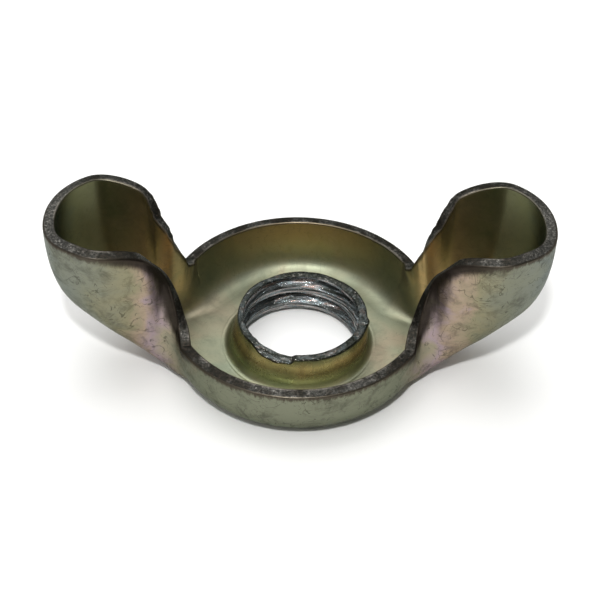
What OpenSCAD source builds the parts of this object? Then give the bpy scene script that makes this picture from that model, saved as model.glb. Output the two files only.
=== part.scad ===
// Wing nut pressed from one piece of sheet steel, with an extruded and tapped collar.
// The bore axis is Z, the bearing face is at z = 0, and the wings stand out along X.

/* [Thread] */
// Diameter across the thread crests, which is the tapping hole of M8 x 1.25
bore_d = 6.8; // [6.6:0.05:7.0]
// Pitch of the thread
thread_pitch = 1.25; // [1:0.05:1.5]
// Depth of the thread grooves below the crests
thread_depth = 0.54; // [0.2:0.02:0.56]
// Height of the lowest groove above the bearing face
first_groove_z = 1.1; // [0.9:0.05:1.2]

/* [Collar] */
// Height of the collar's lip above the bearing face
collar_h = 2.95; // [2.85:0.05:3.2]
// Wall that is left at the lip, outside the crests
lip_wall = 0.5; // [0.35:0.05:0.7]
// Wall of the collar at half its height
mid_wall = 0.8; // [0.7:0.05:0.95]
// Wall of the collar where its fillet meets the floor
foot_wall = 1.25; // [1.1:0.05:1.5]
// Radius rolled on the bore's edge at the bearing face
entry_r = 0.6; // [0.3:0.05:0.7]

/* [Sheet and dish] */
// Thickness of the sheet
sheet_t = 0.7; // [0.55:0.05:0.8]
// Outside radius of the dish at its rim
rim_r = 7.9; // [7.6:0.1:8.1]
// Height of the rim above the bearing face
rim_h = 3.75; // [3.5:0.05:3.9]
// How far the dish wall leans in from the rim to the foot
rim_draft = 0.6; // [0.4:0.05:0.7]
// Length of floor and of wall that the dish's bend takes up
dish_bend = 1.8; // [1.4:0.1:2]
// Angle from the wings' line to the notch where the rim ends
notch_angle = 30; // [27:1:32]

/* [Wings] */
// Distance between the two wing tips
wing_span = 29.6; // [29:0.2:30.2]
// Distance from the bore axis to the neck, where the edge leaves the rim's notch
neck_x = 7.1; // [6.95:0.05:7.3]
// Half width at the neck
neck_half = 2.7; // [2.6:0.05:2.85]
// Height of the edge at the neck
neck_h = 4.7; // [4.5:0.1:5]
// Distance from the bore axis to the throat, where the wing is narrowest
throat_x = 7.7; // [7.6:0.1:8]
// Half width at the throat
throat_half = 2.3; // [2.2:0.05:2.5]
// Height of the edge at the throat
throat_h = 7.9; // [7.6:0.1:8.2]
// Distance from the bore axis to the shoulder, where the edge levels out
shoulder_x = 9.1; // [8.9:0.05:9.4]
// Half width at the shoulder
shoulder_half = 3.3; // [3.1:0.05:3.4]
// Height of the edge at the shoulder
shoulder_h = 9.9; // [9.6:0.05:10.1]
// Distance from the bore axis to the widest place of a wing
wide_x = 12.45; // [12:0.05:12.7]
// Half width at the widest place
wide_half = 3.55; // [3.4:0.05:3.7]
// Height of the edge at the widest place
wide_h = 10.35; // [10.1:0.05:10.5]
// Height of the edge at the tip
tip_h = 9.95; // [9.7:0.05:10.2]
// How blunt the tip is, seen from above
tip_round = 2.8; // [2.2:0.1:3]

/* [Ramps] */
// Where the underside of a wing starts to rise from the bearing plane
ramp_x = 6.4; // [6.2:0.05:6.6]
// Length over which it bends up to the full slope
ramp_blend = 1.3; // [1.2:0.05:1.8]
// Rise of the underside for each millimetre outwards
ramp_slope = 0.55; // [0.52:0.01:0.58]

/* [Hidden] */
bore_r = bore_d / 2;
tip_x = wing_span / 2;
foot_r = rim_r - rim_draft;
keel_r = 5;
rows_wall = 2;
rows_bend = 5;
rows_floor = 3;
rows = rows_wall + rows_bend + rows_floor;
steps_dish = 7;
steps_leg = 4;
legs = 5;
steps = steps_dish + legs * steps_leg;
columns = 4 * steps;
ring_steps = steps_dish + steps_leg;

// Point at fraction f between b and c of a smooth line through a, b, c and d
function smooth(a, b, c, d, f) =
    0.5 * (2 * b + (c - a) * f + (2 * a - 5 * b + 4 * c - d) * f ^ 2
        + (3 * b - a - 3 * c + d) * f ^ 3);

// Point at place s, in legs, of the smooth line through p, whose two end points only steer it
function along(p, s) =
    let (i = min(floor(s), len(p) - 4))
    smooth(p[i], p[i + 1], p[i + 2], p[i + 3], s - i);

// Value at place s of numbers that are eased from station to station and level out at the tip
function eased(values, s) = along(concat([values[0]], values, [values[len(values) - 2]]), s);

// Underside of the wing above the bearing plane, and its slope
function ramp_z(x) =
    let (d = max(x - ramp_x, 0))
    d < ramp_blend ? ramp_slope * d ^ 2 / (2 * ramp_blend) : ramp_slope * (d - ramp_blend / 2);
function ramp_tilt(x) = ramp_slope * min(max(x - ramp_x, 0) / ramp_blend, 1);
function on_ramp(p) = [p.x, p.y, ramp_z(p.x)];
function polar(r, a) = [r * cos(a), r * sin(a)];
function polar_at(r, a, z) = [r * cos(a), r * sin(a), z];

// Lines of the wing from the notch to the tip: the top edge, and the foot of the wall, which
// is the corner that the bend rounds off. Their first and last points only steer them.
notch = polar_at(rim_r, notch_angle, rim_h);
neck = [neck_x, neck_half, neck_h];
throat = [throat_x, throat_half, throat_h];
shoulder = [shoulder_x, shoulder_half, shoulder_h];
wide = [wide_x, wide_half, wide_h];
wide_foot = [wide_x - 1.05, 2];
edge_line = [notch + 0.6 * (notch - neck), notch, neck, throat, shoulder, wide,
    [tip_x, 0, tip_h], [wide.x, -tip_round * wide.y, wide.z]];
foot_line = [polar(foot_r, notch_angle + 12), polar(foot_r, notch_angle), [neck_x + 0.4, 2.7],
    [throat_x + 0.4, 2.45], [shoulder_x + 0.1, 2.25], wide_foot, [tip_x - 0.2, 0],
    [wide_foot.x, -wide_foot.y]];
// Distances of the floor's middle points from the bore axis, from the neck to the tip
floor_x = [keel_r, 5.9, 7.7, 10, 12.1];
// Length of floor and of wall that the bend takes up at each station, from the notch to the tip
floor_bend = [dish_bend, 1.1, 1.3, 1.8, 2.9, 3];
wall_bend = [dish_bend, 1.3, 1.7, 2.2, 4.4, 5.2];

// Place s runs from 0 at the middle of the dish's side, through 1 at the notch, to 6 at the tip
function place(i) = i < steps_dish ? i / steps_dish : 1 + (i - steps_dish) / steps_leg;
function dish_angle(s) = 90 - (90 - notch_angle) * s;
function edge(s) = s < 1 ? polar_at(rim_r, dish_angle(s), rim_h) : along(edge_line, s - 1);
function foot(s) = on_ramp(s < 1 ? polar(foot_r, dish_angle(s)) : along(foot_line, s - 1));
function bend(lengths, s) = s < 1 ? dish_bend : eased(lengths, s - 1);
function middle(s) =
    s < 1 ? polar(keel_r, dish_angle(s))
    : s < 2 ? polar(keel_r, notch_angle * (2 - s))
    : [eased(floor_x, s - 2), 0];

// Point of the outer surface at place s and row k, from the top edge down and in to the middle
function outer_point(s, k) =
    let (
        e = edge(s),
        f = foot(s),
        m = middle(s),
        reach = norm(m - [f.x, f.y]),
        floor_part = min(bend(floor_bend, s) / reach, 0.95),
        in_floor = on_ramp([f.x, f.y] + (m - [f.x, f.y]) * floor_part),
        in_wall = f + (e - f) * min(bend(wall_bend, s) / norm(e - f), 0.95),
        t = (k - rows_wall) / rows_bend,
        g = (k - rows_wall - rows_bend) / rows_floor
    )
    k < rows_wall ? e + (in_wall - e) * k / rows_wall
    : t <= 1 ? in_wall * (1 - t) ^ 2 + f * 2 * t * (1 - t) + in_floor * t ^ 2
    : on_ramp([in_floor.x, in_floor.y] + (m - [in_floor.x, in_floor.y]) * g);

// A quarter of the surface is worked out, and the other columns mirror it. Columns run
// anticlockwise from the middle of the front, seen from above.
quarter = [for (i = [0 : steps]) [for (k = [0 : rows]) outer_point(place(i), k)]];
function wrap(j) = (j + columns) % columns;
function quarter_of(j) = floor(wrap(j) / steps);
function step_of(j) = quarter_of(j) % 2 == 0 ? wrap(j) % steps : steps - wrap(j) % steps;
function side_x(j) = quarter_of(j) < 2 ? 1 : -1;
function side_y(j) = quarter_of(j) % 3 == 0 ? -1 : 1;
function outside(j, k) =
    let (p = quarter[step_of(j)][k])
    [side_x(j) * p.x, side_y(j) * p.y, p.z];

// Direction into the sheet, square to the outer surface
function unit(v) = v / norm(v);
function inward(j, k) =
    k == rows ? unit([-side_x(j) * ramp_tilt(abs(outside(j, k).x)), 0, 1])
    : unit(cross(outside(j + 1, k) - outside(j - 1, k),
        outside(j, k + 1) - outside(j, max(k - 1, 0))));
function inside(j, k) = outside(j, k) + sheet_t * inward(j, k);

// The front and back halves of a wing share the points in the middle of its floor
function shared(j, k) =
    k == rows && quarter_of(j) % 2 == 1 && step_of(j) > ring_steps - 1
        ? (quarter_of(j) == 1 ? 2 : 6) * steps - wrap(j)
        : wrap(j);
function out_id(j, k) = k * columns + shared(j, k);
function in_id(j, k) = (rows + 1) * columns + out_id(j, k);

// The whole sheet before the collar is drawn up: two surfaces, the cut rim, and the flat
// middle of the floor on each side
module sheet() {
    ring = [for (j = [0 : columns - 1]) if (shared(j, rows) == j && step_of(j) <= ring_steps) j];
    points = concat(
        [for (k = [0 : rows]) for (j = [0 : columns - 1]) outside(j, k)],
        [for (k = [0 : rows]) for (j = [0 : columns - 1]) inside(j, k)]
    );
    outer_faces = [for (k = [0 : rows - 1]) for (j = [0 : columns - 1]) each [
        [out_id(j, k), out_id(j + 1, k), out_id(j + 1, k + 1)],
        [out_id(j, k), out_id(j + 1, k + 1), out_id(j, k + 1)]
    ]];
    inner_faces = [for (k = [0 : rows - 1]) for (j = [0 : columns - 1]) each [
        [in_id(j, k), in_id(j + 1, k + 1), in_id(j + 1, k)],
        [in_id(j, k), in_id(j, k + 1), in_id(j + 1, k + 1)]
    ]];
    rim_faces = [for (j = [0 : columns - 1]) each [
        [out_id(j, 0), in_id(j + 1, 0), out_id(j + 1, 0)],
        [out_id(j, 0), in_id(j, 0), in_id(j + 1, 0)]
    ]];
    outer_middle = [for (j = ring) out_id(j, rows)];
    inner_middle = [for (i = [len(ring) - 1 : -1 : 0]) in_id(ring[i], rows)];
    polyhedron(points = points,
        faces = concat(outer_faces, inner_faces, rim_faces, [outer_middle, inner_middle]));
}

// Collar drawn up out of the floor. Its foot stands inside the sheet and its fillet runs into
// the floor at a slight angle.
module collar() {
    fillet_r = foot_wall - mid_wall;
    foot_z = sheet_t - 0.02;
    mid_z = collar_h / 2;
    rotate_extrude($fn = 96)
    polygon(concat(
        [[bore_r - 0.4, sheet_t / 2], [bore_r + foot_wall, sheet_t / 2]],
        [for (a = [0 : 15 : 90])
            [bore_r + foot_wall - fillet_r * sin(a), foot_z + (mid_z - foot_z) * (1 - cos(a))]],
        [[bore_r + lip_wall, collar_h], [bore_r - 0.4, collar_h]]
    ));
}

// Everything that the tapping hole and the tap take away: the hole, the rolled edge at the
// bearing face, and the thread drawn as rings of its true profile
module tapped_hole() {
    half_groove = thread_depth * tan(30);
    translate([0, 0, -1])
    cylinder(r = bore_r, h = collar_h + 2, $fn = 96);
    rotate_extrude($fn = 96)
    polygon(concat(
        [[0, -1], [bore_r + entry_r, -1]],
        [for (a = [0 : 18 : 90]) [bore_r + entry_r * (1 - sin(a)), entry_r * (1 - cos(a))]],
        [[0, entry_r]]
    ));
    for (z = [first_groove_z, first_groove_z + thread_pitch])
    translate([0, 0, z])
    rotate_extrude($fn = 96)
    polygon([
        [bore_r - 0.5, -half_groove - 0.5 * tan(30)],
        [bore_r + thread_depth, 0],
        [bore_r - 0.5, half_groove + 0.5 * tan(30)]
    ]);
}

module pressed_nut() {
    color([0.6, 0.58, 0.42])
    difference() {
        union() {
            sheet();
            collar();
        }
        tapped_hole();
    }
}

pressed_nut();
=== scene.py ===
"""Looks of the pressed wing nut: one sheet-steel pressing with its real thread and surface."""

import math

import bpy
import numpy as np
from mathutils import Matrix, Vector


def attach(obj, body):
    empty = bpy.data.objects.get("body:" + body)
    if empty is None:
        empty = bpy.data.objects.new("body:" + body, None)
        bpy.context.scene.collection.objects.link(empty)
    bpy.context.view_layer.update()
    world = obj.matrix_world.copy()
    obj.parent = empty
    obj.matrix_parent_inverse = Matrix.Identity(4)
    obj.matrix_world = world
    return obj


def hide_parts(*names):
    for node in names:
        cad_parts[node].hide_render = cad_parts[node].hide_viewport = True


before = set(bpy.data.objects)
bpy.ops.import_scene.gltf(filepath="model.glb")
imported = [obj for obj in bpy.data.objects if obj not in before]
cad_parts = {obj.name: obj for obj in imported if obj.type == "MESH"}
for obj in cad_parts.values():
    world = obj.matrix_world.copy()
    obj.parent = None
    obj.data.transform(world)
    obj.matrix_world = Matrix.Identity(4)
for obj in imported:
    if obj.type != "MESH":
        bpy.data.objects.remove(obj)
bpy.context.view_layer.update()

MM = 0.001

# Dish and wings in millimetres, the same sizes as the CAD model's
SHEET = 0.7
RIM_R, RIM_H = 7.9, 3.75
FOOT_R = RIM_R - 0.6
NOTCH = math.radians(30)
TIP_X, TIP_H, TIP_ROUND = 14.8, 9.95, 2.8
NECK = (7.1, 2.7, 4.7)
THROAT = (7.7, 2.3, 7.9)
SHOULDER = (9.1, 3.3, 9.9)
WIDE = (12.45, 3.55, 10.35)
RAMP_X, RAMP_BLEND, RAMP_SLOPE = 6.4, 1.3, 0.55
RING_R = 5.0
LEGS = 5
FOOT_STATIONS = ((NECK[0] + 0.4, 2.7), (THROAT[0] + 0.4, 2.45), (SHOULDER[0] + 0.1, 2.25),
                 (WIDE[0] - 1.05, 2.0))
TIP_FOOT_X = TIP_X - 0.2
FLOOR_X = (RING_R, 5.9, 7.7, 10.0, 12.1)
DISH_BEND = 1.8
FLOOR_BEND = (DISH_BEND, 1.1, 1.3, 1.8, 2.9, 3.0)
WALL_BEND = (DISH_BEND, 1.3, 1.7, 2.2, 4.4, 5.2)

# Collar and thread. The collar's wall is up to 0.2 mm thinner than the CAD model's
BORE_R = 3.4
PITCH = 1.25
COLLAR_H = 2.95
LIP_R, MID_R, COLLAR_FOOT_R = 3.82, 4.05, 4.45
MID_H = 1.45
LEAN = 0.15
UNEVEN = 0.08
ENTRY_R = 0.6
THREAD_DEPTH = 0.55
ROOT_FLAT = 0.12
EXIT_TURN = 240 / 360
FIN = 0.1
THINNEST = 0.08
FOOT_RIDGE = 0.012

# Flaws round the torn lip: places in degrees anticlockwise from +x, and depths
SLIVER_START, SLIVER_DEPTH = 220, 0.27
TEAR_START, TEAR_END, TEAR_DEPTH = 222, 266, 0.15
NICK_START, NICK_END, NICK_DEPTH = 318, 350, 0.16
TAB_AT, TAB_WIDTH, TAB_REACH = 354, 4, 0.16
FIN_START, FIN_END = 130, 222

# Rounding of the blanked edge: outside, what the necks have more, and the inner corner
EDGE_ROLL, NECK_ROLL, CORNER_ROLL = 0.12, 0.14, 0.07
# How far in from the edge the waves of the necks' back edges die away
WAVE_REACH = 0.6
# A distance or radius that means there is no edge
NO_EDGE = 9.0

# What each point carries for the material, and what the lip's points say in two of them
MARKS = ("cut", "gap", "inside", "thread", "rim", "collar")
LIP_CUT, LIP_RIM = 0.8, 0.6

# Grid density of a quarter of the pressing and of the collar
DISH_STEPS, LEG_STEPS = 56, 26
WALL_ROWS, BEND_ROWS, FLOOR_ROWS, RIM_ROWS = 16, 12, 9, 7
UNDER_ROWS, ENTRY_ROWS, BORE_ROWS, LIP_ROWS, OUTSIDE_ROWS, FOOT_ROWS = 6, 8, 96, 6, 34, 13

# The place along the quarter past which it is evened out, and the most that a bend takes of a wall
EVENED_FROM = 2.02
MOST_BEND = 0.95


def smooth_line(points, s):
    """Points at places s, counted in spans, of a smooth line whose two end points only steer it."""
    points = np.asarray(points, float)
    i = np.clip(np.floor(s).astype(int), 0, len(points) - 4)
    f = (s - i)[:, None]
    a, b, c, d = points[i], points[i + 1], points[i + 2], points[i + 3]
    return 0.5 * (2 * b + (c - a) * f + (2 * a - 5 * b + 4 * c - d) * f**2
                  + (3 * b - a - 3 * c + d) * f**3)


def eased(values, s):
    """Values at places s, eased from station to station and level at the last one."""
    padded = np.array([values[0], *values, values[-2]])
    return smooth_line(padded[:, None], s)[:, 0]


def polar(radius, angle):
    return np.stack([radius * np.cos(angle), radius * np.sin(angle)], -1)


def ramp_z(x):
    out = np.maximum(x - RAMP_X, 0)
    return np.where(out < RAMP_BLEND, RAMP_SLOPE * out**2 / (2 * RAMP_BLEND),
                    RAMP_SLOPE * (out - RAMP_BLEND / 2))


def on_ramp(xy):
    return np.concatenate([xy, ramp_z(xy[..., :1])], -1)


def unit(v):
    return v / np.maximum(np.linalg.norm(v, axis=-1, keepdims=True), 1e-9)


def smoothstep(low, high, x):
    t = np.clip((x - low) / (high - low), 0, 1)
    return t * t * (3 - 2 * t)


def hump(start, top, fall, end, x):
    """Rises smoothly from 0 to 1 between start and top, and falls back between fall and end."""
    return smoothstep(start, top, x) * (1 - smoothstep(fall, end, x))


def value_noise(p, seed):
    """Smooth noise from -1 to 1 at points p, with one cell per unit."""
    cell = np.floor(p).astype(np.int64)
    f = p - cell
    f = f * f * (3 - 2 * f)
    total = 0
    for corner in np.ndindex(2, 2, 2):
        q = cell + corner
        h = (q[..., 0] * 73856093) ^ (q[..., 1] * 19349663) ^ (q[..., 2] * 83492791)
        h = h ^ (seed * 2654435)
        h = (h ^ (h >> 13)) * 1274126177 & 0x7FFFFFFF
        weight = np.prod(np.where(np.array(corner) == 1, f, 1 - f), axis=-1)
        total = total + weight * (h % 20011 / 10005.5 - 1)
    return total


# ---------------------------------------------------------------- the sheet

def quarter_places():
    dish = np.linspace(0, 1, DISH_STEPS, endpoint=False)
    return np.concatenate([dish, 1 + np.linspace(0, LEGS, LEGS * LEG_STEPS + 1)])


def quarter_surface(s):
    """Outer surface of the quarter with x and y above zero, as columns at places s and rows
    from the top edge down the wall, round the bend and in along the floor."""
    angle = math.pi / 2 - (math.pi / 2 - NOTCH) * np.minimum(s, 1)
    wing = (s >= 1)[:, None]
    s_wing = np.maximum(s - 1, 0)
    notch = np.array([RIM_R * math.cos(NOTCH), RIM_R * math.sin(NOTCH), RIM_H])
    edge_stations = [notch + 0.6 * (notch - np.array(NECK)), notch, NECK, THROAT, SHOULDER, WIDE,
                     (TIP_X, 0, TIP_H), (WIDE[0], -TIP_ROUND * WIDE[1], WIDE[2])]
    rim = np.concatenate([polar(RIM_R, angle), np.full((len(s), 1), RIM_H)], 1)
    edge = np.where(wing, smooth_line(edge_stations, s_wing), rim)
    last = FOOT_STATIONS[-1]
    foot_stations = [polar(FOOT_R, NOTCH + math.radians(12)), polar(FOOT_R, NOTCH),
                     *FOOT_STATIONS, (TIP_FOOT_X, 0), (last[0], -last[1])]
    foot_xy = np.where(wing, smooth_line(foot_stations, s_wing), polar(FOOT_R, angle))
    foot = on_ramp(foot_xy)
    ring_angle = np.where(s < 1, angle, NOTCH * np.maximum(2 - s, 0))
    keel = np.stack([eased(FLOOR_X, np.maximum(s - 2, 0)), 0 * s], 1)
    middle = np.where((s <= 2)[:, None], polar(RING_R, ring_angle), keel)
    reach = np.linalg.norm(middle - foot_xy, axis=1)
    part = np.minimum(np.where(wing[:, 0], eased(FLOOR_BEND, s_wing), DISH_BEND) / reach, MOST_BEND)
    floor_xy = foot_xy + (middle - foot_xy) * part[:, None]
    in_floor = on_ramp(floor_xy)
    up = edge - foot
    part = np.minimum(np.where(wing[:, 0], eased(WALL_BEND, s_wing), DISH_BEND)
                      / np.linalg.norm(up, axis=1), MOST_BEND)
    in_wall = foot + up * part[:, None]
    rows = [edge + (in_wall - edge) * (k / WALL_ROWS) ** 2 for k in range(WALL_ROWS)]
    for t in np.linspace(0, 1, BEND_ROWS + 1):
        rows.append(in_wall * (1 - t) ** 2 + foot * 2 * t * (1 - t) + in_floor * t**2)
    for t in np.linspace(0, 1, FLOOR_ROWS + 1)[1:]:
        rows.append(on_ramp(floor_xy + (middle - floor_xy) * t))
    return evened(np.stack(rows, 1), s > EVENED_FROM)


def evened(columns, where, times=9):
    """The columns with their bends along the wing evened out, as the press tool leaves them."""
    for _ in range(times):
        beyond = columns[-2:-1] * [1, -1, 1]
        padded = np.concatenate([columns[:1], columns, beyond])
        even = 0.25 * padded[:-2] + 0.5 * padded[1:-1] + 0.25 * padded[2:]
        columns = np.where(where[:, None, None], even, columns)
    return columns


def all_round(quarter):
    """The columns of the four quarters in a closed loop, anticlockwise from the front."""
    there, back = quarter[:-1], quarter[::-1][:-1]
    turns = [(there, (1, -1, 1)), (back, (1, 1, 1)), (there, (-1, 1, 1)), (back, (-1, -1, 1))]
    return np.concatenate([columns * np.array(sign) for columns, sign in turns])


def repeat_round(quarter):
    """The same for a number that doesn't change when a quarter is mirrored."""
    return np.concatenate([quarter[:-1], quarter[::-1][:-1]] * 2)


def edge_distance(quarter):
    """Distance of each point of the quarter from the top edge, near that edge only."""
    near = quarter[:, :WALL_ROWS]
    edge = quarter[:, 0]
    gap = np.full(quarter.shape[:2], NO_EDGE)
    for k in range(near.shape[1]):
        gap[:, k] = np.linalg.norm(near[:, k, None] - edge[None], axis=2).min(1)
    return gap


def rolled(gap, radius):
    """How far a surface sinks at a distance gap from an edge rounded with this radius."""
    inside = np.clip(radius - gap, 0, radius)
    return radius - np.sqrt(np.maximum(radius**2 - inside**2, 0))


def inward_normals(outer):
    """Unit normals to the sheet's inner side, where rows may lie unevenly far apart."""
    along = np.roll(outer, -1, 0) - np.roll(outer, 1, 0)
    step = np.diff(outer, axis=1)
    length = np.linalg.norm(step, axis=2, keepdims=True)
    down = np.empty_like(outer)
    down[:, 0], down[:, -1] = step[:, 0], step[:, -1]
    down[:, 1:-1] = unit(step[:, 1:]) * length[:, :-1] + unit(step[:, :-1]) * length[:, 1:]
    inward = unit(np.cross(along, down))
    x = outer[:, -1, 0]
    tilt = RAMP_SLOPE * np.clip((abs(x) - RAMP_X) / RAMP_BLEND, 0, 1)
    inward[:, -1] = unit(np.stack([-np.sign(x) * tilt, 0 * x, 1 + 0 * x], 1))
    return inward


def cut_face(outer_edge, inner_edge):
    """Rows across the cut edge of the sheet, a little rough."""
    rows = []
    for t in np.linspace(0, 1, RIM_ROWS + 1)[1:-1]:
        p = outer_edge * (1 - t) + inner_edge * t
        lift = 0.016 * value_noise(p * 7, 3) + 0.01 * value_noise(p * 16, 4)
        rows.append(p + lift[:, None] * [0, 0, 1])
    return np.stack(rows, 1)


def neck_wave(edge):
    """How far along x the shears left the back edges of the necks from their true line."""
    x = edge[:, 0]
    where = hump(6.7, 7.1, 8.2, 9.6, abs(x)) * (edge[:, 1] > 0)
    wave = where * (0.13 * value_noise(edge * 1.4, 5) + 0.07 * value_noise(edge * 3.5, 6))
    return np.sign(x) * wave


def sheet_grid():
    """Rows from the middle of the underside out to the rim, over it and back in."""
    s = quarter_places()
    quarter = quarter_surface(s)
    outer = all_round(quarter)
    gap = repeat_round(edge_distance(quarter))
    inward = inward_normals(outer)

    # blanking rolls the outer edge over, most of all between the notch and the shoulder
    roll = EDGE_ROLL + NECK_ROLL * hump(1.3, 2.2, 3.6, 4.6, repeat_round(s))
    skin = outer + inward * rolled(gap, roll[:, None])[..., None]
    inner = outer + inward * (SHEET - rolled(gap, CORNER_ROLL))[..., None]
    grid = np.concatenate([skin[:, ::-1], cut_face(skin[:, 0], inner[:, 0]), inner], 1)
    from_edge = np.concatenate([gap[:, ::-1], np.zeros((len(gap), RIM_ROWS - 1)), gap], 1)
    grid[..., 0] += neck_wave(outer[:, 0])[:, None] * np.exp(-(from_edge / WAVE_REACH) ** 2)

    rows = quarter.shape[1]
    edge_rows = slice(rows - 1, rows + RIM_ROWS)
    marks = {key: np.zeros(grid.shape[:2]) for key in MARKS}
    marks["cut"][:, edge_rows] = 1
    marks["rim"][:, edge_rows] = np.linspace(0, 1, RIM_ROWS + 1)
    marks["inside"][:, rows + RIM_ROWS - 1:] = 1
    marks["gap"][:] = from_edge
    return grid, marks


# ---------------------------------------------------------------- the tapped collar

def groove_depth(theta, z):
    """Depth below the crests of a right-hand thread with V-shaped grooves, at angle theta."""
    centre = COLLAR_H + PITCH * (theta / (2 * math.pi) - EXIT_TURN)
    off = np.abs((z - centre + PITCH / 2) % PITCH - PITCH / 2)
    depth = THREAD_DEPTH + (ROOT_FLAT / 2 - off) * math.sqrt(3)
    return np.clip(depth, 0, THREAD_DEPTH)


def collar_outside(theta, z):
    """Outside radius of the collar at height z: a fillet up to mid height, then a taper."""
    rise = np.clip((MID_H - z) / (MID_H - SHEET), 0, 1)
    fillet = COLLAR_FOOT_R - (COLLAR_FOOT_R - MID_R) * np.sqrt(1 - rise**2)
    taper = MID_R + (LIP_R - MID_R) * np.clip((z - MID_H) / (COLLAR_H - MID_H), 0, 1.2)
    rise = smoothstep(SHEET, COLLAR_H, z)
    uneven = UNEVEN * np.cos(theta) + 0.035 * around(theta, 22, 31)
    from_tab = (np.degrees(theta) % 360 - TAB_AT) / TAB_WIDTH
    tab = TAB_REACH * np.exp(-from_tab**2) * smoothstep(2.3, 2.9, z)
    return np.where(z < MID_H, fillet, taper) + uneven * rise + tab


def around(theta, count, seed):
    """Noise round the lip with about this many bumps."""
    reach = count / (2 * math.pi)
    return value_noise(np.concatenate([polar(reach, theta), 0 * theta[:, None]], 1), seed)


def lip_height(theta):
    """The lip is a little ragged, nicked beside the tab and torn where the groove runs out."""
    degrees = np.degrees(theta) % 360
    ragged = 0.03 * around(theta, 16, 8) + 0.03 * around(theta, 50, 9)
    rough = 0.5 + hump(60, 200, 255, TEAR_END, degrees)
    nick = NICK_DEPTH * smoothstep(NICK_START, NICK_END - 4, degrees) * (degrees < NICK_END)
    torn = TEAR_DEPTH * hump(TEAR_START, 258, 261, TEAR_END, degrees)
    return COLLAR_H - 0.03 + ragged * rough - nick - torn


def broken_away(theta):
    """How much lower the outer side of the lip is where a sliver has broken out of it."""
    degrees = np.degrees(theta) % 360
    tapering = 1 - 0.6 * smoothstep(244, 262, degrees)
    return SLIVER_DEPTH * tapering * hump(SLIVER_START, 236, 261, TEAR_END, degrees)


def fin_edge(theta):
    """Inner edge of the thin fin that is left above the last groove."""
    degrees = np.degrees(theta) % 360
    edge = BORE_R - 0.02 + 0.05 * around(theta, 40, 12)
    return np.where((degrees > FIN_START) & (degrees < FIN_END), edge, NO_EDGE)


def entry_rows(theta):
    """In along the underside and round the rolled entry, where the thread starts."""
    for r in np.linspace(RING_R, BORE_R + ENTRY_R, UNDER_ROWS + 1)[1:-1]:
        yield r, 0.0
    for a in np.linspace(0, math.pi / 2, ENTRY_ROWS + 1)[:-1]:
        z = ENTRY_R * (1 - math.cos(a))
        started = smoothstep(0.35, 1.0, z / ENTRY_R)
        yield BORE_R + ENTRY_R * (1 - math.sin(a)) + groove_depth(theta, z) * started, z


def bore_rows(theta, lip):
    """Up the thread to the lip. The last groove closes where it would break out of the collar."""
    fin = fin_edge(theta)
    for step in np.linspace(0, 1, BORE_ROWS):
        z = ENTRY_R + (lip - 0.02 - ENTRY_R) * step
        closed = smoothstep(210, 219, np.degrees(theta) % 360) * smoothstep(0.75, 0.5, lip - z)
        wall = BORE_R + groove_depth(theta, z) * (1 - closed)
        below_fin = smoothstep(FIN, 2 * FIN, lip - z)
        wall = np.where(fin < NO_EDGE, np.minimum(wall, fin + below_fin), wall)
        yield np.minimum(wall, collar_outside(theta, z) - THINNEST), z


def lip_rows(theta, inner, lip, outer_lip):
    """Across the ragged lip from its inner radius, at height lip, to the outside at outer_lip."""
    outer = collar_outside(theta, outer_lip)
    for part in np.linspace(0, 1, LIP_ROWS + 1)[1:-1]:
        ragged = 0.035 * around(theta, 90, 20 + int(part * LIP_ROWS)) - 0.015
        level = lip + (outer_lip - lip) * smoothstep(0.1, 0.75, part)
        yield inner + (outer - inner) * part, level + 0.02 * math.sin(math.pi * part) + ragged


def outside_rows(theta, outer_lip):
    """Down the outside of the collar to its foot."""
    for step in np.linspace(0, 1, OUTSIDE_ROWS):
        z = (outer_lip - 0.03) * (1 - step) + SHEET * step
        yield collar_outside(theta, z), z


def foot_rows():
    """Out along the floor, over the fine ridge that the punch left round the collar."""
    for r in np.linspace(COLLAR_FOOT_R, RING_R, FOOT_ROWS + 1)[1:-1]:
        yield r, SHEET + FOOT_RIDGE * np.exp(-((r - COLLAR_FOOT_R - 0.1) / 0.06) ** 2)


def placed(theta, radius, z):
    """A row of points round the collar, which leans a little towards +x."""
    radius, z = np.broadcast_to(radius, theta.shape), np.broadcast_to(z, theta.shape)
    row = np.concatenate([polar(1, theta) * radius[:, None], z[:, None]], 1)
    row[:, 0] += LEAN * smoothstep(0.4, 2.6, z)
    return row


def collar_grid(theta):
    """Rows from the underside in to the bore, up the thread, over the lip and down to the floor."""
    lip = lip_height(theta)
    outer_lip = lip - broken_away(theta)
    rows = list(entry_rows(theta))
    first_bore = len(rows)
    rows.extend(bore_rows(theta, lip))
    first_lip = len(rows)
    rows.extend(lip_rows(theta, rows[-1][0], lip, outer_lip))
    past_lip = len(rows)
    rows.extend(outside_rows(theta, outer_lip))
    foot = len(rows)
    rows.extend(foot_rows())
    grid = np.stack([placed(theta, *row) for row in rows], 1)

    # the thread's colours start in the entry, and the lip's spread a little past it
    marks = {key: np.zeros(grid.shape[:2]) for key in MARKS}
    marks["thread"][:, first_bore - 5: past_lip + 2] = 1
    marks["cut"][:, first_lip - 2: past_lip + 2] = LIP_CUT
    marks["inside"][:, past_lip:] = 1
    marks["collar"][:, past_lip:foot] = np.clip((foot - np.arange(past_lip, foot)) / 10, 0, 1)
    marks["gap"][:] = NO_EDGE
    marks["rim"][:] = LIP_RIM
    return grid, marks


# ---------------------------------------------------------------- one closed mesh

def quads(first, wide, high, turned):
    """Faces of a closed grid of wide columns and high rows whose points start at first."""
    j, k = np.meshgrid(np.arange(wide), np.arange(high - 1), indexing="ij")
    a, b = first + j * high + k, first + (j + 1) % wide * high + k
    corners = [a, b, b + 1, a + 1]
    return np.stack(corners[::-1] if turned else corners, -1).reshape(-1, 4)


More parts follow.
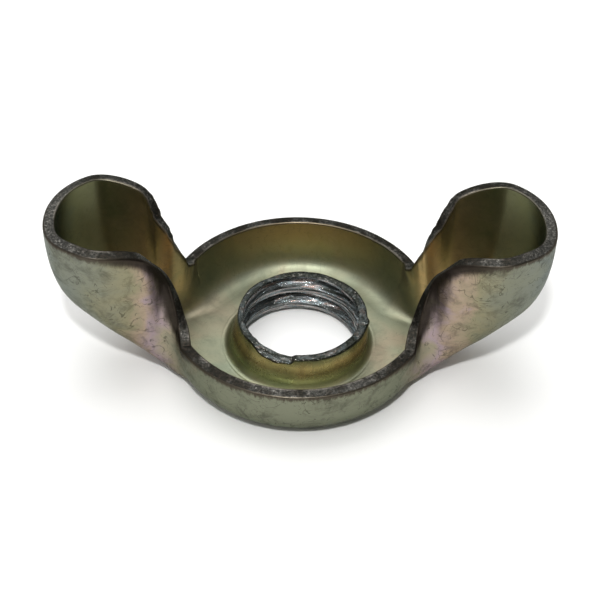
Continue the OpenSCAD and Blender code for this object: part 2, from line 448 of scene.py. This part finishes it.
def shared_ring(sheet):
    """The sheet's columns that end on the ring round the collar, each once, and their angles."""
    start = sheet[:, 0]
    ring = np.flatnonzero(np.abs(np.linalg.norm(start[:, :2], axis=1) - RING_R) < 1e-6)
    theta = np.unwrap(np.arctan2(start[ring, 1], start[ring, 0]))
    keep = np.concatenate([[True], np.abs(np.diff(theta)) > 1e-6])
    return ring[keep], theta[keep]


def build_mesh(name):
    sheet, sheet_marks = sheet_grid()
    ring, theta = shared_ring(sheet)
    collar, collar_marks = collar_grid(theta)
    collar = np.concatenate([sheet[ring, :1], collar, sheet[ring, -1:]], 1)
    points = np.concatenate([sheet.reshape(-1, 3), collar.reshape(-1, 3)])
    columns, rows = sheet.shape[:2]
    faces = np.concatenate([quads(0, columns, rows, False),
                            quads(columns * rows, *collar.shape[:2], True)])

    # points within 0.1 micrometre of one another are one point, and faces without an area go
    _, first, where = np.unique(np.round(points * 1e4).astype(np.int64), axis=0,
                                return_index=True, return_inverse=True)
    faces = [list(dict.fromkeys(face)) for face in where.reshape(-1)[faces].tolist()]
    mesh = bpy.data.meshes.new(name)
    mesh.from_pydata((points[first] * MM).tolist(), [], [face for face in faces if len(face) > 2])
    for key in MARKS:
        part = collar_marks[key]
        part = np.concatenate([part[:, :1], part, part[:, -1:]], 1)
        values = np.concatenate([sheet_marks[key].reshape(-1), part.reshape(-1)])[first]
        layer = mesh.attributes.new(key, "FLOAT", "POINT")
        layer.data.foreach_set("value", values.astype(np.float32))
    mesh.polygons.foreach_set("use_smooth", np.ones(len(mesh.polygons), bool))
    mesh.validate()
    mesh.update()
    return mesh


nut = bpy.data.objects.new("nut_pressing", build_mesh("nut_pressing"))
bpy.context.scene.collection.objects.link(nut)


# ---------------------------------------------------------------- the plated steel

# Where the film's colours start along the wing and how far they run, in millimetres
FILM_START, FILM_RUN = 6.0, 9.0
SOIL = (0.055, 0.05, 0.04)
# dark brown band below the edge: partly stain, partly painted shade of the rolled-over edge
STAIN_AND_SHADE_BAND = (0.06, 0.045, 0.035)
# painted shade where the edge curls over beside the necks
CURL_SHADE = (0.022, 0.018, 0.015)
BURR = (0.07, 0.062, 0.05)
# painted highlight along the rounded inner corner of the cut edge
INNER_CORNER_HIGHLIGHT = (0.22, 0.20, 0.17)
# painted glint on the thread
THREAD_GLINT = (0.75, 0.74, 0.70)
# Scratches: scale of the noise that they follow, width of the line, and where the noise starts
SCRATCHES = ((0.4, 0.007, 3.1), (0.75, 0.010, 7.7), (1.5, 0.016, 12.9), (0.5, 0.006, 21.3))


class Nodes:
    """Short ways to make and join the nodes of one material."""

    def __init__(self, tree):
        self.tree = tree
        tree.nodes.clear()

    def make(self, kind, **inputs):
        node = self.tree.nodes.new(kind)
        for key, value in inputs.items():
            self.feed(node.inputs[key.replace("_", " ")], value)
        return node

    def feed(self, socket, value):
        if isinstance(value, bpy.types.NodeSocket):
            self.tree.links.new(value, socket)
        else:
            socket.default_value = value

    def sums(self, operation, *values, clamp=False):
        node = self.tree.nodes.new("ShaderNodeMath")
        node.operation = operation
        node.use_clamp = clamp
        for socket, value in zip(node.inputs, values):
            self.feed(socket, value)
        return node.outputs[0]

    def plus(self, a, b, clamp=False):
        return self.sums("ADD", a, b, clamp=clamp)

    def less(self, a, b):
        return self.sums("SUBTRACT", a, b)

    def times(self, a, b):
        return self.sums("MULTIPLY", a, b)

    def most(self, a, b):
        return self.sums("MAXIMUM", a, b)

    def rest_of(self, part):
        return self.sums("SUBTRACT", 1.0, part)

    def mark(self, name):
        node = self.make("ShaderNodeAttribute")
        node.attribute_name = name
        return node.outputs["Fac"]

    def noise(self, where, scale, detail=3.0, roughness=0.5, distortion=0.0):
        node = self.make("ShaderNodeTexNoise", Vector=where, Scale=scale, Detail=detail,
                         Roughness=roughness, Distortion=distortion)
        return node.outputs["Fac"]

    def stretched(self, where, size):
        """Places divided by size, so a pattern grows by size along each axis."""
        node = self.make("ShaderNodeMapping")
        node.vector_type = "TEXTURE"
        self.feed(node.inputs["Vector"], where)
        self.feed(node.inputs["Scale"], size)
        return node.outputs["Vector"]

    def steps(self, value, low, high):
        """A smooth step from 0 at low to 1 at high."""
        node = self.make("ShaderNodeMapRange")
        node.interpolation_type = "SMOOTHSTEP"
        for key, number in (("Value", value), ("From Min", low), ("From Max", high)):
            self.feed(node.inputs[key], number)
        return node.outputs["Result"]

    def ramp(self, value, *stops):
        node = self.make("ShaderNodeValToRGB", Fac=value)
        elements = node.color_ramp.elements
        while len(elements) < len(stops):
            elements.new(0.5)
        for element, (place, colour) in zip(elements, stops):
            element.position = place
            element.color = (*colour, 1)
        return node.outputs["Color"]

    def mix(self, part, a, b):
        node = self.tree.nodes.new("ShaderNodeMix")
        node.data_type = "RGBA"
        colours = [s for s in node.inputs if s.type == "RGBA"]
        self.feed(node.inputs[0], part)
        for socket, value in zip(colours, (a, b)):
            self.feed(socket, (*value, 1) if isinstance(value, tuple) else value)
        return next(s for s in node.outputs if s.type == "RGBA")


class Steel(Nodes):
    """The nodes of the steel, with the places, marks and patterns that its layers share."""

    def __init__(self, tree):
        super().__init__(tree)
        place = self.make("ShaderNodeTexCoord").outputs["Object"]
        self.mm = self.stretched(place, (MM, MM, MM))
        marked = [self.mark(name) for name in MARKS]
        self.cut, self.gap, self.inside, self.thread, self.rim, self.collar = marked
        self.outside = self.rest_of(self.inside)
        parts = self.make("ShaderNodeSeparateXYZ", Vector=self.mm)
        self.across = self.sums("ABSOLUTE", parts.outputs["X"])
        self.up = parts.outputs["Z"]
        self.cloud = self.noise(self.mm, 0.32, 3, 0.55, 0.6)
        slow = self.noise(self.mm, 0.45, 3, 0.6, 0.5)
        self.wobble = self.times(self.less(slow, 0.5), 0.55)
        self.grain = self.noise(self.mm, 7.0, 5, 0.7)
        self.turned = self.noise(self.stretched(self.mm, (2.4, 2.4, 0.11)), 1.0, 4, 0.65)


def outside_film(n):
    """Yellow passivate: peach, violet and olive along the wing, and blue-grey at its tip."""
    run = n.plus(n.times(n.less(n.across, FILM_START), 1 / FILM_RUN), n.wobble)
    return n.ramp(run, (0.0, (0.22, 0.23, 0.165)), (0.14, (0.33, 0.29, 0.21)),
                  (0.24, (0.37, 0.29, 0.31)), (0.34, (0.40, 0.31, 0.23)),
                  (0.47, (0.28, 0.26, 0.165)), (0.66, (0.23, 0.235, 0.175)),
                  (0.84, (0.22, 0.23, 0.19)), (1.0, (0.18, 0.20, 0.19)))


def inside_film_shade_and_reflection(n):
    """Satin grey-green floor and golden dish wall, with the wings painted dark olive inside as
    painted shade and a painted golden reflection at the throat.
    """
    satin = n.ramp(n.cloud, (0.3, (0.225, 0.25, 0.18)), (0.5, (0.28, 0.285, 0.20)),
                   (0.7, (0.32, 0.28, 0.20)))
    run = n.plus(n.times(n.across, 1 / 15), n.times(n.wobble, 0.35))
    # the bright gold stops near the throat are a painted reflection, and the dark olive stops out
    # along the wings are painted shade
    olive = n.ramp(run, (0.05, (0.72, 0.56, 0.32)), (0.25, (0.52, 0.43, 0.26)),
                   (0.36, (0.29, 0.29, 0.19)), (0.44, (0.46, 0.40, 0.25)),
                   (0.51, (0.84, 0.63, 0.36)), (0.56, (0.66, 0.52, 0.32)),
                   (0.63, (0.44, 0.36, 0.23)), (0.76, (0.19, 0.195, 0.11)),
                   (0.87, (0.185, 0.195, 0.10)), (0.96, (0.13, 0.16, 0.11)))
    return n.mix(n.steps(n.up, 1.2, 3.6), satin, olive)


def collar_film_and_highlights(n):
    """Green and brown bands up the outside of the drawn collar, with a painted yellow-green
    highlight at the fillet and a painted gold highlight below the lip.
    """
    height = n.plus(n.times(n.up, 1 / 3), n.times(n.wobble, 0.45))
    # the yellow-green stop near the fillet and the gold stop below the lip are painted highlights
    return n.ramp(height, (0.28, (0.36, 0.40, 0.24)), (0.42, (0.56, 0.58, 0.33)),
                  (0.62, (0.34, 0.28, 0.15)), (0.76, (0.68, 0.56, 0.30)),
                  (0.95, (0.36, 0.38, 0.24)))


def hair_lines(n, scale, width, seed):
    """Fine curling scratches: thin level lines of a slow noise, broken up by another."""
    moved = n.make("ShaderNodeVectorMath", Vector=n.mm)
    moved.operation = "ADD"
    moved.inputs[1].default_value = (seed, 2.3 * seed, -1.7 * seed)
    where = moved.outputs[0]
    level = n.sums("ABSOLUTE", n.less(n.noise(where, scale, 1.5, 0.5, 0.6), 0.5))
    line = n.rest_of(n.steps(level, width * 0.3, width))
    return n.times(line, n.steps(n.noise(where, 1.3, 4, 0.6), 0.48, 0.58))


def wear(n):
    """Stains, pits and curling scratches, most of them outside, and darker towards the bottom."""
    stain = n.steps(n.noise(n.mm, 0.7, 8, 0.72, 0.5), 0.46, 0.68)
    # darker towards the bottom
    low = n.rest_of(n.steps(n.up, 0.3, 2.6))
    stain = n.times(stain, n.plus(0.8, n.times(low, 0.5)))
    pits = n.steps(n.noise(n.mm, 6.5, 4, 0.65), 0.64, 0.74)
    marks = n.most(n.times(stain, 0.75), n.times(pits, 0.7))
    for scale, width, seed in SCRATCHES:
        marks = n.most(marks, n.times(hair_lines(n, scale, width, seed), 0.7))
    return n.times(marks, n.rest_of(n.times(n.inside, 0.72)))


def near_edge(n, colour):
    """The colour with a dark streaky band below the edge, widest beside the necks: partly stain and
    partly painted shade of the rolled-over edge, with painted shade darkest where the edge curls
    most.
    """
    wide = n.times(n.steps(n.across, 5.8, 7.0), n.rest_of(n.steps(n.across, 9.6, 12.4)))
    reach = n.plus(0.36, n.times(wide, 0.5))
    streaks = n.noise(n.stretched(n.mm, (0.12, 0.12, 0.9)), 0.6, 4, 0.7)
    ragged = n.plus(n.gap, n.times(n.less(streaks, 0.5), 1.1))
    # a band below the edge of painted shade of the rolled-over edge, mixed with streaky stain
    band = n.times(n.rest_of(n.steps(n.sums("DIVIDE", ragged, reach), 0.25, 1.2)), n.outside)
    colour = n.mix(n.times(band, 0.85), colour, STAIN_AND_SHADE_BAND)
    # painted shade where the rolled edge curls most, beside the necks
    curl_shade_mask = n.times(n.times(n.rest_of(n.steps(n.gap, 0.35, 0.85)), wide), n.outside)
    colour = n.mix(n.times(curl_shade_mask, 0.8), colour, CURL_SHADE)
    burr = n.times(n.rest_of(n.steps(n.gap, 0.04, 0.14)), n.inside)
    return n.mix(n.times(burr, 0.85), colour, BURR)


def sheared_edge(n):
    """Dull cut edge, brighter in patches that carry painted glints, painted lighter at the wing
    tips where it faces up, and with a painted highlight along the inner corner.
    """
    patch = n.steps(n.noise(n.mm, 0.9, 4, 0.6), 0.42, 0.62)
    dull = n.ramp(n.grain, (0.35, (0.013, 0.014, 0.012)), (0.55, (0.030, 0.027, 0.022)),
                  (0.7, (0.055, 0.042, 0.034)))
    # the top stops of the bright ramp are painted glints
    bright = n.ramp(n.grain, (0.35, (0.03, 0.03, 0.028)), (0.52, (0.09, 0.088, 0.08)),
                    (0.64, (0.24, 0.23, 0.21)), (0.72, (0.6, 0.6, 0.56)))
    # painted light: the cut edge is lighter at the wing tips, where it faces up
    tips = n.steps(n.across, 11.5, 13.8)
    raw = n.mix(n.most(n.times(patch, 0.65), n.times(tips, 0.8)), dull, bright)
    # painted highlight along the inner corner of the cut edge
    corner = n.steps(n.plus(n.rim, n.times(n.grain, 0.3)), 0.9, 1.15)
    return n.mix(n.times(corner, n.times(patch, 0.7)), raw, INNER_CORNER_HIGHLIGHT)


def tapped_thread(n):
    """Dark steel with peach streaks along the grooves, and blue and white streaks and bright specks
    that are painted glints.
    """
    # the blue and white stops are painted glints
    streaks = n.ramp(n.turned, (0.36, (0.022, 0.026, 0.022)), (0.47, (0.07, 0.073, 0.07)),
                     (0.53, (0.26, 0.32, 0.34)), (0.59, (0.30, 0.19, 0.15)),
                     (0.66, (0.85, 0.92, 0.94)))
    # painted glints
    glints = n.steps(n.noise(n.mm, 9.0, 3, 0.6), 0.64, 0.70)
    return n.mix(n.times(glints, 0.8), streaks, THREAD_GLINT)


def torn_lip(n):
    """Green-black, with white sparkles that are painted glints."""
    return n.ramp(n.grain, (0.4, (0.012, 0.016, 0.012)), (0.58, (0.05, 0.052, 0.045)),
                  (0.66, (0.35, 0.33, 0.29)), (0.72, (0.8, 0.8, 0.76)))


def roughness(n, worn, on_floor):
    """Satin steel, rougher where worn, on the floor and on cut edges, smoother in the thread."""
    rough = n.plus(0.29, n.times(worn, 0.25))
    rough = n.plus(rough, n.times(n.cloud, 0.12))
    rough = n.plus(rough, n.times(on_floor, 0.1))
    rough = n.less(rough, n.times(n.thread, 0.2))
    rough = n.less(rough, n.times(n.collar, 0.1))
    return n.plus(rough, n.times(n.cut, 0.12), clamp=True)


def relief(n, worn, on_floor):
    """Sandy grain, sunk scratches, rough cut edges, turned grooves and slow unevenness."""
    sandy = n.plus(0.12, n.times(on_floor, 0.3))
    height = n.less(n.times(n.noise(n.mm, 14.0, 3, 0.6), sandy), n.times(worn, 0.35))
    height = n.plus(height, n.times(n.times(n.grain, n.cut), 1.2))
    height = n.plus(height, n.times(n.times(n.turned, n.thread), 2.5))
    height = n.plus(height, n.times(n.times(n.grain, n.thread), 1.5))
    height = n.plus(height, n.times(n.noise(n.mm, 1.6, 3, 0.5), 0.25))
    bump = n.make("ShaderNodeBump", Height=height, Strength=0.5, Distance=0.00004)
    return bump.outputs["Normal"]


def plated_steel():
    material = bpy.data.materials.new("passivated_steel")
    material.use_nodes = True
    n = Steel(material.node_tree)
    worn = wear(n)
    film = n.mix(n.inside, outside_film(n), n.mix(n.collar, inside_film_shade_and_reflection(n), collar_film_and_highlights(n)))
    colour = near_edge(n, n.mix(n.times(worn, 0.8), film, SOIL))
    colour = n.mix(n.thread, colour, tapped_thread(n))
    colour = n.mix(n.cut, colour, n.mix(n.thread, sheared_edge(n), torn_lip(n)))
    on_floor = n.times(n.inside, n.rest_of(n.steps(n.up, 1.2, 2.4)))
    on_floor = n.times(on_floor, n.rest_of(n.collar))
    shader = n.make("ShaderNodeBsdfPrincipled", Base_Color=colour, Metallic=1.0,
                    Roughness=roughness(n, worn, on_floor), Normal=relief(n, worn, on_floor),
                    Specular_Tint=(0.5, 0.52, 0.5, 1))
    output = n.make("ShaderNodeOutputMaterial")
    n.feed(output.inputs["Surface"], shader.outputs[0])
    return material


nut.data.materials.append(plated_steel())
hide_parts("pressed_nut")
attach(nut, "root")


# ---------------------------------------------------------------- camera

# The photograph's camera: its angles, how far off it is and what it aims at in millimetres
VIEW_ELEVATION = math.radians(43.55)
VIEW_YAW = math.radians(-0.22)
VIEW_ROLL = math.radians(0.97)
VIEW_DISTANCE = 172.6
AIM_RIGHT, AIM_UP = 0.114, 3.024
LENS, SENSOR = 173.7, 36


def camera():
    ce, se = math.cos(VIEW_ELEVATION), math.sin(VIEW_ELEVATION)
    cy, sy = math.cos(VIEW_YAW), math.sin(VIEW_YAW)
    level = Vector((cy, -sy, 0))
    rise = Vector((sy * se, cy * se, ce))
    back = Vector((-sy * ce, -cy * ce, se))
    right = math.cos(VIEW_ROLL) * level + math.sin(VIEW_ROLL) * rise
    up = -math.sin(VIEW_ROLL) * level + math.cos(VIEW_ROLL) * rise
    place = back * VIEW_DISTANCE
    away = (place - right * AIM_RIGHT - up * AIM_UP).normalized()
    right = (right - away * right.dot(away)).normalized()
    up = away.cross(right)
    data = bpy.data.cameras.new("camera")
    data.sensor_width = SENSOR
    data.lens = LENS
    data.clip_start, data.clip_end = 0.01, 20
    made = bpy.data.objects.new("camera", data)
    facing = Matrix((right, up, away)).transposed().to_4x4()
    made.matrix_world = Matrix.Translation(place * MM) @ facing
    bpy.context.scene.collection.objects.link(made)
    bpy.context.scene.camera = made


camera()


# ---------------------------------------------------------------- floor and light

FLOOR_REACH = 3.0
# Name, azimuth and elevation in degrees, distance and size in metres, and radiance
LIGHTS = (("key", 198, 66, 0.7, 0.6, 2.3), ("fill", -35, 50, 0.6, 0.30, 1.6),
          ("top", 0, 86, 0.6, 0.3, 2.4), ("lamp", -4, 60, 0.6, 0.045, 300.0))


def floor():
    reach = FLOOR_REACH
    mesh = bpy.data.meshes.new("floor")
    corners = [(-reach, -reach, 0), (reach, -reach, 0), (reach, reach, 0), (-reach, reach, 0)]
    mesh.from_pydata(corners, [], [(0, 1, 2, 3)])
    made = bpy.data.objects.new("floor", mesh)
    bpy.context.scene.collection.objects.link(made)
    material = bpy.data.materials.new("floor")
    material.use_nodes = True
    shader = material.node_tree.nodes["Principled BSDF"]
    shader.inputs["Base Color"].default_value = (0.9, 0.9, 0.89, 1)
    shader.inputs["Roughness"].default_value = 0.9
    mesh.materials.append(material)


def softbox(name, azimuth, elevation, distance, size, radiance):
    """A square light at an azimuth anticlockwise from the front, aimed at the nut."""
    a, e = math.radians(azimuth), math.radians(elevation)
    out = Vector((math.sin(a) * math.cos(e), -math.cos(a) * math.cos(e), math.sin(e)))
    data = bpy.data.lights.new(name, "AREA")
    data.shape = "SQUARE"
    data.size = size
    data.energy = radiance * math.pi * size**2
    made = bpy.data.objects.new(name, data)
    made.location = out * distance
    made.rotation_mode = "QUATERNION"
    made.rotation_quaternion = out.to_track_quat("Z", "Y")
    made.visible_camera = False
    bpy.context.scene.collection.objects.link(made)


def sky():
    """The studio round the nut: pale at the back and dark in front."""
    world = bpy.data.worlds.new("studio")
    world.use_nodes = True
    n = Nodes(world.node_tree)
    where = n.make("ShaderNodeTexCoord").outputs["Generated"]
    parts = n.make("ShaderNodeSeparateXYZ", Vector=where)
    back = n.steps(parts.outputs["Y"], -0.25, 0.55)
    high = n.ramp(n.times(n.plus(parts.outputs["Z"], 1.0), 0.5),
                  (0.5, (0.55, 0.55, 0.55)), (0.62, (0.75, 0.75, 0.75)), (0.74, (0.5, 0.5, 0.5)),
                  (1.0, (0.4, 0.4, 0.4)))
    colour = n.mix(back, (0.14, 0.14, 0.13), high)
    background = n.make("ShaderNodeBackground", Color=colour, Strength=1.0)
    output = n.make("ShaderNodeOutputWorld")
    n.feed(output.inputs["Surface"], background.outputs[0])
    bpy.context.scene.world = world


floor()
for light in LIGHTS:
    softbox(*light)
sky()
bpy.context.scene.view_settings.view_transform = "Standard"
